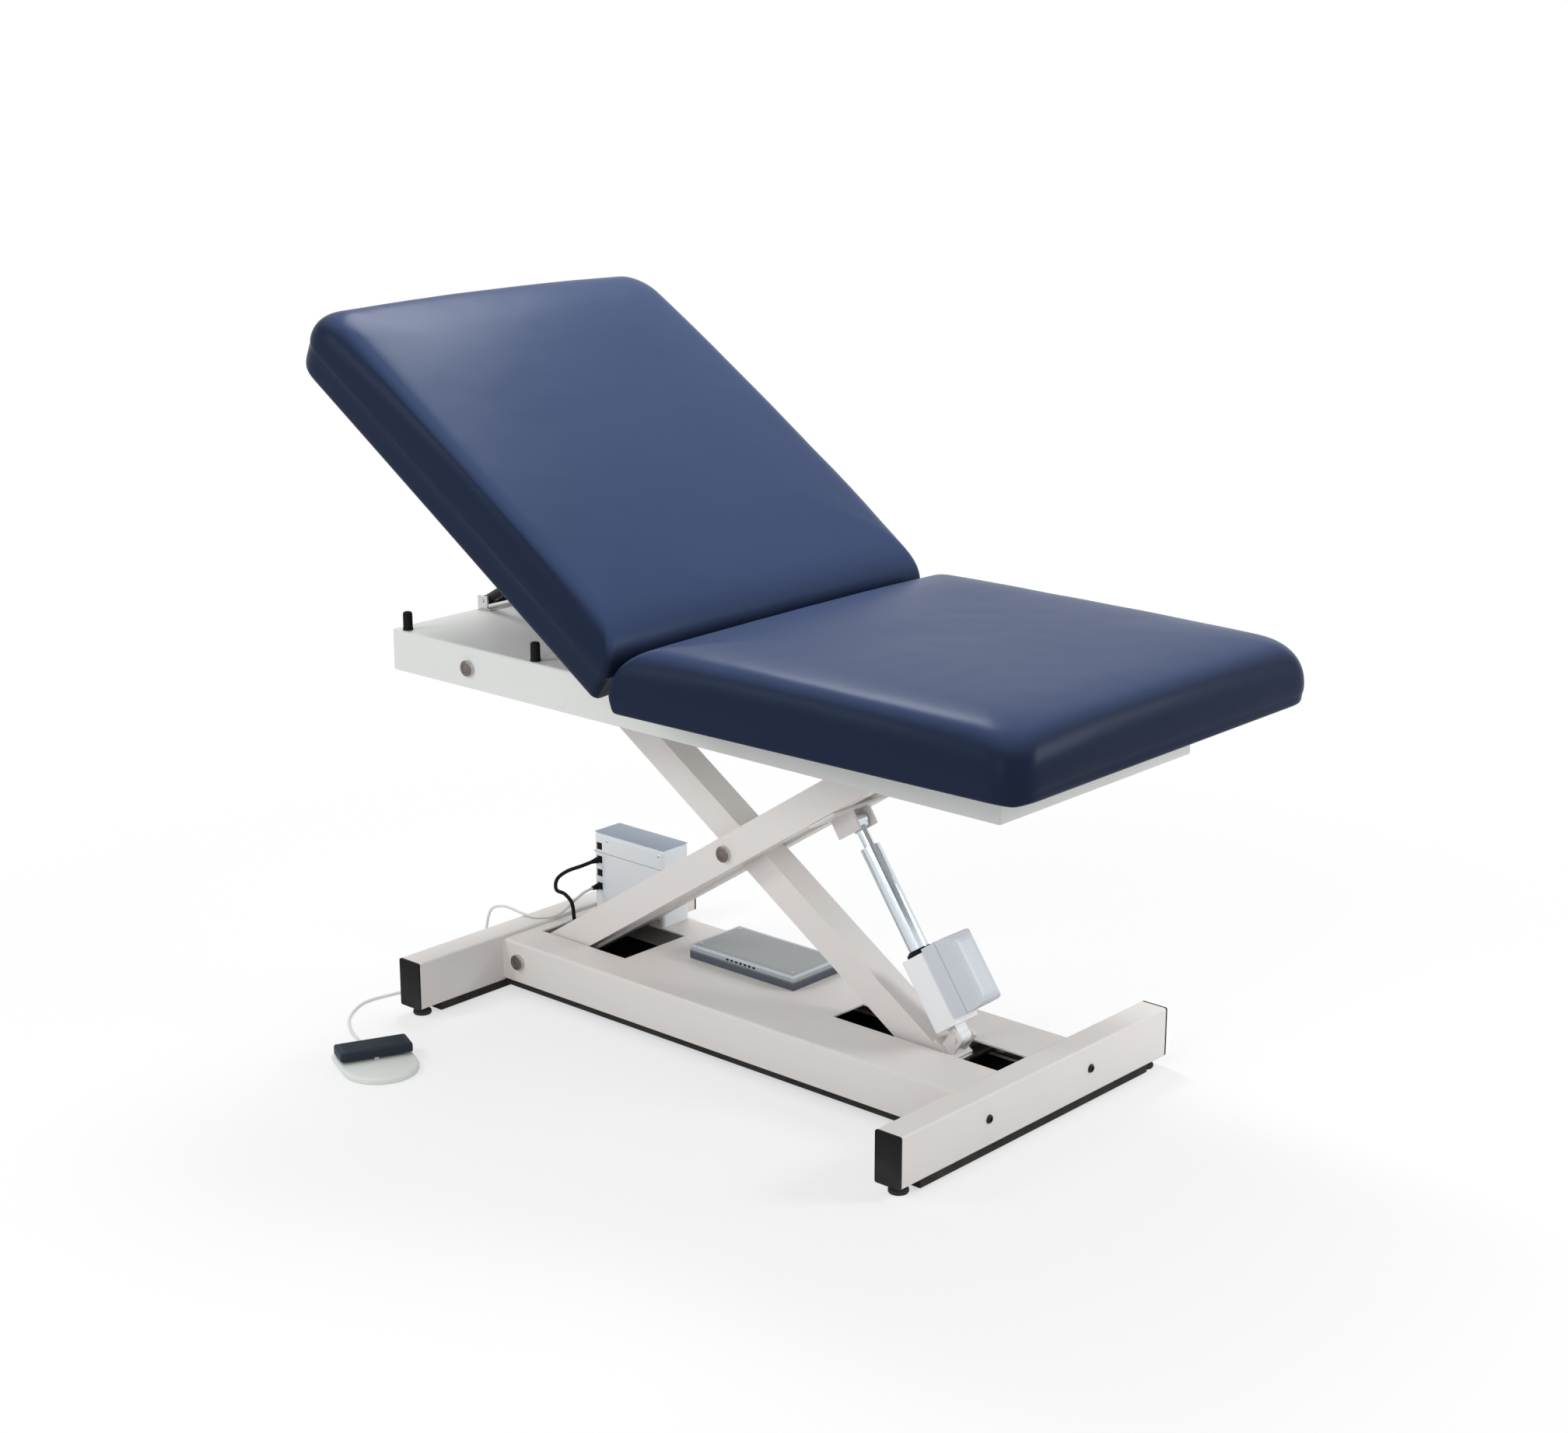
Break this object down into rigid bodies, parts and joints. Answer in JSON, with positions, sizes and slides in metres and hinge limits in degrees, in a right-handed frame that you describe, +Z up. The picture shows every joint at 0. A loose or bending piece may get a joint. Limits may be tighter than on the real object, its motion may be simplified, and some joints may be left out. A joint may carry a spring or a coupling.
{
  "type": "bariatric treatment table",
  "caption": "Wide padded treatment table with a hinged backrest on gas struts and a foot-pedal-driven scissor lift on a floor base with crossbars.",
  "frame": {"origin": "middle of the plan box on the floor, pedal included and cord left out", "axes": "+X towards the foot end, +Y towards the far side, +Z up"},
  "size_m": [1.7968, 1.1575, 1.4324],
  "materials": {
    "painted_steel": "satin",
    "painted_frame": "satin",
    "bright_steel": "satin",
    "black_paint": "satin",
    "black_plastic": "matte",
    "black_rubber": "matte",
    "white_plastic": "satin",
    "navy_vinyl": "satin",
    "plywood": "matte",
    "pale_grey_plastic": "satin",
    "unit_grey": "satin",
    "pale_cord": "satin",
    "pedal_dark": "satin",
    "chrome": "polished"
  },
  "bodies": {
    "base": {"base_body": "painted_steel", "head_crossbar": "painted_steel", "foot_crossbar": "painted_steel", "head_floor_strip": "black_rubber", "foot_floor_strip": "black_rubber", "head_end_cap_near": "black_plastic", "head_end_cap_far": "black_plastic", "foot_end_cap_near": "black_plastic", "foot_end_cap_far": "black_plastic", "levelling_foot_head_near": "black_rubber", "levelling_foot_head_far": "black_rubber", "levelling_foot_foot_near": "black_rubber", "levelling_foot_foot_far": "black_rubber", "foot_crossbar_bolt_near": "black_plastic", "foot_crossbar_bolt_far": "black_plastic", "base_pivot_shaft": "bright_steel", "base_guide_rail_near": "bright_steel", "base_guide_rail_far": "bright_steel", "control_box": "pale_grey_plastic", "power_unit": "unit_grey", "motor_cable": "black_plastic", "pedal_housing": "pale_cord", "pedal_cord": "pale_cord"},
    "outer_arms": {"outer_arm_near": "painted_steel", "outer_arm_far": "painted_steel", "centre_pivot_shaft": "bright_steel", "upper_slide_shaft": "bright_steel", "actuator_upper_bracket": "painted_steel"},
    "inner_arm": {"inner_arm": "painted_steel", "lower_slide_shaft": "bright_steel", "actuator_foot_bracket": "painted_steel"},
    "upper_slider": {"upper_slide_block_near": "white_plastic", "upper_slide_block_far": "white_plastic"},
    "lower_slider": {"lower_slide_block_near": "white_plastic", "lower_slide_block_far": "white_plastic"},
    "actuator": {"actuator_housing": "white_plastic", "actuator_motor": "pale_grey_plastic"},
    "actuator_rod": {"actuator_rod": "chrome"},
    "top_frame": {"top_frame": "painted_frame", "frame_guide_rail_near": "bright_steel", "frame_guide_rail_far": "bright_steel", "frame_pivot_shaft": "bright_steel", "bumper_head_near": "black_rubber", "bumper_head_far": "black_rubber", "bumper_foot_near": "black_rubber", "bumper_foot_far": "black_rubber", "strut_base_bracket": "bright_steel", "hinge_rail": "bright_steel", "seat_board": "navy_vinyl", "seat_cushion": "navy_vinyl"},
    "backrest": {"backrest_panel": "plywood", "backrest_cushion": "navy_vinyl", "backrest_skirt_near": "navy_vinyl", "backrest_skirt_far": "navy_vinyl", "backrest_skirt_head": "navy_vinyl", "hinge_leaf": "bright_steel", "strut_top_bracket": "bright_steel"},
    "strut_cylinders": {"gas_strut_cylinders": "black_paint"},
    "strut_rods": {"gas_strut_rods": "bright_steel"},
    "treadle": {"pedal_treadle": "pedal_dark"}
  },
  "joints": [
    {"name": "lift", "type": "hinge", "parent": "base", "child": "outer_arms", "pos_m": [-0.58861, 0.12577, 0.073], "axis": [0, -1, 0], "range_deg": [-14, 0]},
    {"name": "scissor_pivot", "type": "hinge", "parent": "outer_arms", "child": "inner_arm", "pos_m": [-0.08527, 0.12577, 0.40049], "axis": [0, -1, 0], "range_deg": [0, 28.01]},
    {"name": "frame_pivot", "type": "hinge", "parent": "inner_arm", "child": "top_frame", "pos_m": [-0.58861, 0.12577, 0.72799], "axis": [0, -1, 0], "range_deg": [-14.01, 0]},
    {"name": "upper_slider_pivot", "type": "hinge", "parent": "outer_arms", "child": "upper_slider", "pos_m": [0.41807, 0.12577, 0.72799], "axis": [0, -1, 0], "range_deg": [0, 14.01]},
    {"name": "lower_slider_pivot", "type": "hinge", "parent": "inner_arm", "child": "lower_slider", "pos_m": [0.41807, 0.12577, 0.073], "axis": [0, -1, 0], "range_deg": [-14.01, 0]},
    {"name": "actuator_tilt", "type": "hinge", "parent": "inner_arm", "child": "actuator", "pos_m": [0.44406, 0.12577, 0.13495], "axis": [0, -1, 0], "range_deg": [0, 11.3]},
    {"name": "actuator_stroke", "type": "slide", "parent": "actuator", "child": "actuator_rod", "axis": [-0.5739, 0, 0.8189], "range_m": [-0.11786, 0]},
    {"name": "backrest_tilt", "type": "hinge", "parent": "top_frame", "child": "backrest", "pos_m": [-0.04561, 0.12577, 0.79999], "axis": [0, 1, 0], "range_deg": [-33.5, 0]},
    {"name": "strut_tilt", "type": "hinge", "parent": "top_frame", "child": "strut_cylinders", "pos_m": [-0.80061, 0.12577, 0.79049], "axis": [0, -1, 0], "range_deg": [-30.3, 0]},
    {"name": "strut_stroke", "type": "slide", "parent": "strut_cylinders", "child": "strut_rods", "axis": [0.8635, 0, 0.5044], "range_m": [-0.1282, 0]},
    {"name": "treadle_rock", "type": "hinge", "parent": "base", "child": "treadle", "pos_m": [-0.56667, -0.47167, 0.0205], "axis": [0.9114, -0.4115, 0], "range_deg": [-4, 4], "stiffness_Nm_per_rad": 3}
  ],
  "couplings": [
    {"joint": "scissor_pivot", "follows": "lift", "ratio": -2},
    {"joint": "frame_pivot", "follows": "lift", "ratio": 1},
    {"joint": "upper_slider_pivot", "follows": "lift", "ratio": -1},
    {"joint": "lower_slider_pivot", "follows": "lift", "ratio": 1},
    {"joint": "actuator_tilt", "follows": "lift", "ratio": -0.80656},
    {"joint": "actuator_stroke", "follows": "lift", "m_per_rad": 0.48029},
    {"joint": "strut_tilt", "follows": "backrest_tilt", "ratio": 0.90425},
    {"joint": "strut_stroke", "follows": "backrest_tilt", "m_per_rad": 0.21841}
  ]
}
